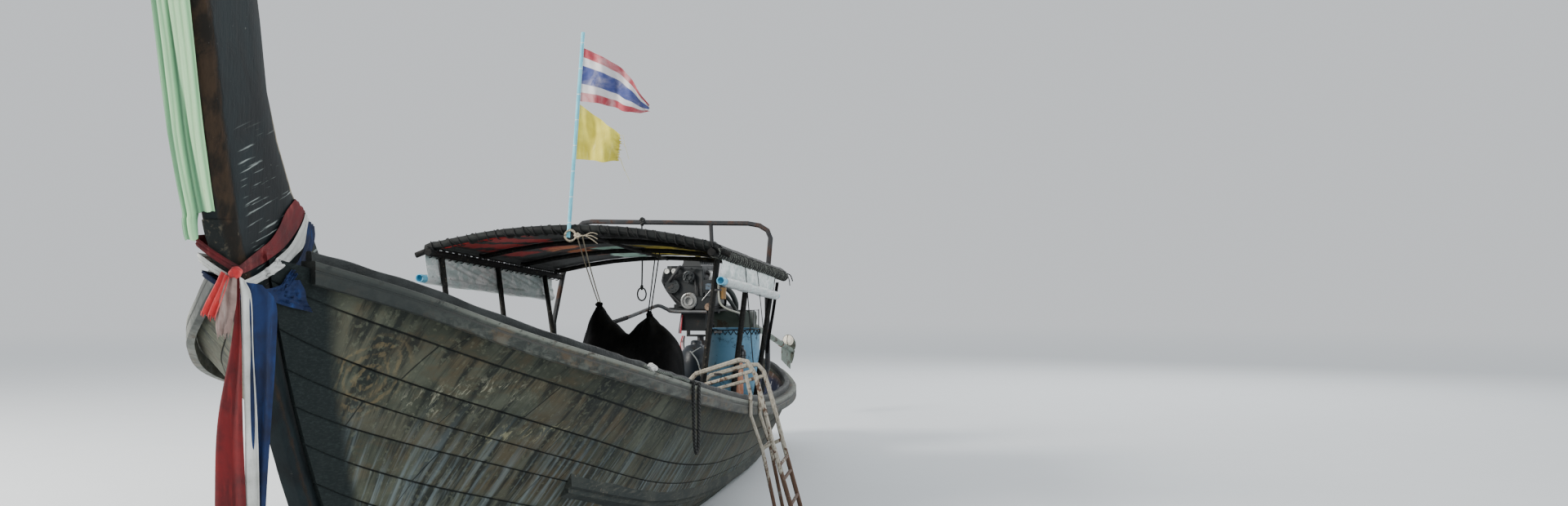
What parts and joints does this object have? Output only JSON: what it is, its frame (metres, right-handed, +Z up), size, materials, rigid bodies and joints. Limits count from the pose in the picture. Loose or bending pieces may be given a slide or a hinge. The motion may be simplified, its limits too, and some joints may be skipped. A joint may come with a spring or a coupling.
{
  "type": "longtail boat",
  "caption": "Open planked wooden longtail boat with a tall prow, arched canopy and a swivelling inboard engine that drives a propeller on a long tail.",
  "frame": {"origin": "on the centreline at the water surface, amidships, 4.9 m aft of the top of the stem at the rail", "axes": "+X forward to the bow, +Y to port, +Z up; z = 0 is the waterline"},
  "size_m": [12.8886, 2.6748, 3.582],
  "materials": {
    "hull_wood": "weathered grey-green paint on planks",
    "prow_wood": "scratched blue-black paint",
    "rail_wood": "worn pale grey paint",
    "coaming_wood": "tarred dark wood",
    "inner_wood": "bare weathered boards",
    "deck_paint": "dark blue deck paint",
    "canopy_poles": "dark poles wrapped in tarpaulin",
    "tarpaulin": "patched dark tarpaulin",
    "clear_sheet": "cloudy clear sheet, rolled up",
    "blue_pipe": "light blue pipe",
    "steel_pipe": "dark worn steel",
    "flag_cloth": "torn striped cloth",
    "yellow_cloth": "torn plain yellow cloth",
    "ribbon_cloth": "red, white and blue ribbons",
    "mint_cloth": "pale mint gauze",
    "black_cloth": "black cloth",
    "blue_plastic": "sun-faded blue plastic",
    "white_tube": "chipped white paint with rust",
    "rope": "dark wet rope",
    "engine_metal": "oily dark engine paint",
    "tube_paint": "green-grey paint",
    "float_foam": "cream foam float",
    "bronze": "tarnished bronze"
  },
  "bodies": {
    "hull": {"bottom_planking_port": "hull_wood", "bottom_planking_starboard": "hull_wood", "side_planking_port": "hull_wood", "side_planking_starboard": "hull_wood", "sheer_planking_port": "hull_wood", "sheer_planking_starboard": "hull_wood", "stem_post": "prow_wood", "keel": "hull_wood", "stern_post": "hull_wood", "gunwale_port": "rail_wood", "gunwale_starboard": "rail_wood", "coaming_port": "coaming_wood", "coaming_starboard": "coaming_wood", "bilge_strake_port": "rail_wood", "bilge_strake_starboard": "rail_wood", "frames": "inner_wood", "floorboards": "inner_wood", "foredeck": "inner_wood", "aft_deck": "deck_paint", "aft_bulkhead": "inner_wood", "thwarts": "inner_wood", "canopy_side_port": "canopy_poles", "canopy_side_starboard": "canopy_poles", "canopy_bows": "canopy_poles", "canopy_cover": "tarpaulin", "side_curtain_port": "clear_sheet", "side_curtain_starboard": "clear_sheet", "curtain_pipe_port": "blue_pipe", "curtain_pipe_starboard": "blue_pipe", "roof_rail": "steel_pipe", "flag_pole": "blue_pipe", "flag_striped": "flag_cloth", "flag_plain": "yellow_cloth", "stem_sash": "ribbon_cloth", "prow_cloth": "mint_cloth", "slung_cloth": "black_cloth", "drum": "blue_plastic", "drum_shelf": "inner_wood", "ladder": "white_tube", "rail_rope": "rope", "engine_pedestal": "inner_wood"},
    "swivel": {"swivel_yoke": "steel_pipe"},
    "engine_unit": {"engine_cradle": "steel_pipe", "engine_block": "engine_metal", "engine_front_gear": "engine_metal", "tiller": "steel_pipe", "shaft_tube": "tube_paint", "tail_float": "float_foam"},
    "propeller": {"propeller": "bronze"}
  },
  "joints": [
    {"name": "engine_swivel", "type": "hinge", "parent": "hull", "child": "swivel", "pos_m": [-3.75, 0, 0.99], "axis": [0, 0, 1], "range_deg": [-30, 35]},
    {"name": "engine_tilt", "type": "hinge", "parent": "swivel", "child": "engine_unit", "pos_m": [-3.75, 0, 1.12], "axis": [0.0807, 0.9967, 0], "range_deg": [-14, 6]},
    {"name": "propeller_spin", "type": "hinge", "parent": "engine_unit", "child": "propeller", "pos_m": [-7.37812, 0.29382, 0.70845], "axis": [-0.9766, 0.0791, -0.1999], "continuous": true}
  ]
}
